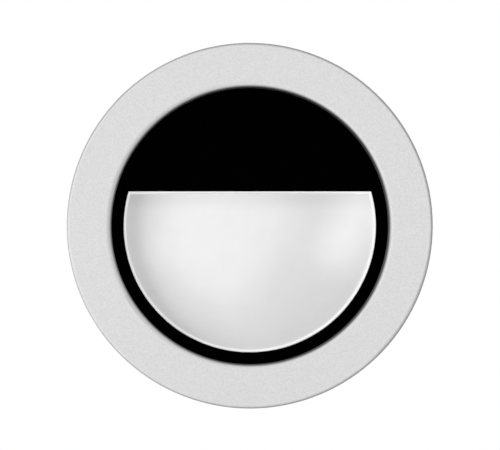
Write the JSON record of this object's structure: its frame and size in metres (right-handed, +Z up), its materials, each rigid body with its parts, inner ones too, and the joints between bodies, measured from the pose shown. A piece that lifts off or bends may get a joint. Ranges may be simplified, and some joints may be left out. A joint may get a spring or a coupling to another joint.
{
  "type": "recessed marker light",
  "caption": "Round recessed wall marker light: silver face ring, black mask with a half-round opal window, sealed ribbed housing with a cable gland, held in its hole by sprung wings.",
  "frame": {"origin": "on the axis of the light, in the plane of the wall, which is the back of the face ring", "axes": "+X to the right and +Z up as seen from the front, +Y along the axis into the wall"},
  "size_m": [0.085, 0.0626, 0.085],
  "materials": {
    "face_paint": "satin silver paint on die-cast aluminium, very fine grain",
    "mask_plastic": "deep matte black moulding",
    "diffuser_opal": "satin opal polycarbonate",
    "seal_rubber": "matte black rubber",
    "seal_silicone": "red-brown silicone",
    "reflector_white": "matte white",
    "led_phosphor": "yellow phosphor in a white frame",
    "led_board_mask": "white solder mask on a metal core",
    "thermal_grey": "soft grey filled silicone",
    "cast_housing": "fine-blasted die casting",
    "zinc_steel": "zinc-plated steel",
    "stainless": "bright stainless steel",
    "spring_steel": "drawn spring wire",
    "ivory_plastic": "ivory nylon",
    "lead_red": "red insulation",
    "lead_black": "black insulation",
    "driver_green": "green solder mask",
    "ferrite": "sintered ferrite",
    "winding_tape": "yellow winding tape",
    "capacitor_sleeve": "dark blue shrunk sleeve",
    "terminal_green": "green nylon",
    "brass": "nickel-free brass",
    "gland_nylon": "black glass-filled nylon"
  },
  "bodies": {
    "light_body": {"face_ring": "face_paint", "mounting_collar": "cast_housing", "wall_gasket": "seal_rubber", "front_mask": "mask_plastic", "diffuser": "diffuser_opal", "diffuser_seal": "seal_silicone", "front_seal": "seal_silicone", "reflector": "reflector_white", "led_packages": "led_phosphor", "led_board": "led_board_mask", "led_plug": "ivory_plastic", "led_screws": "zinc_steel", "thermal_pad": "thermal_grey", "housing": "cast_housing", "ring_screws": "stainless", "lead_grommet": "seal_rubber", "lead_positive": "lead_red", "lead_negative": "lead_black", "driver_board": "driver_green", "driver_screws": "zinc_steel", "transformer": "ferrite", "transformer_winding": "winding_tape", "capacitor": "capacitor_sleeve", "inductor": "ferrite", "lead_header": "ivory_plastic", "terminal_block": "terminal_green", "terminal_screws": "brass", "cover_seal": "seal_silicone", "rear_cover": "cast_housing", "cover_screws": "stainless", "breather": "gland_nylon", "gland_body": "gland_nylon", "gland_seal": "seal_rubber", "gland_nut": "gland_nylon", "gland_washer": "seal_rubber", "gland_locknut": "gland_nylon", "bracket_screws": "stainless", "right_wing_bracket": "zinc_steel", "right_wing_pin": "stainless", "right_wing_spring": "spring_steel", "left_wing_bracket": "zinc_steel", "left_wing_pin": "stainless", "left_wing_spring": "spring_steel"},
    "right_wing": {"right_wing": "stainless"},
    "left_wing": {"left_wing": "stainless"}
  },
  "joints": [
    {"name": "right_wing_pivot", "type": "hinge", "parent": "light_body", "child": "right_wing", "pos_m": [0.02875, 0.01725, 0], "axis": [0, 0, 1], "range_deg": [0, 26.5], "stiffness_Nm_per_rad": 0.055, "springref_deg": -34.38, "deforming": ["right_wing_spring"]},
    {"name": "left_wing_pivot", "type": "hinge", "parent": "light_body", "child": "left_wing", "pos_m": [-0.02875, 0.01725, 0], "axis": [0, 0, -1], "range_deg": [0, 26.5], "stiffness_Nm_per_rad": 0.055, "springref_deg": -34.38, "deforming": ["left_wing_spring"]}
  ]
}
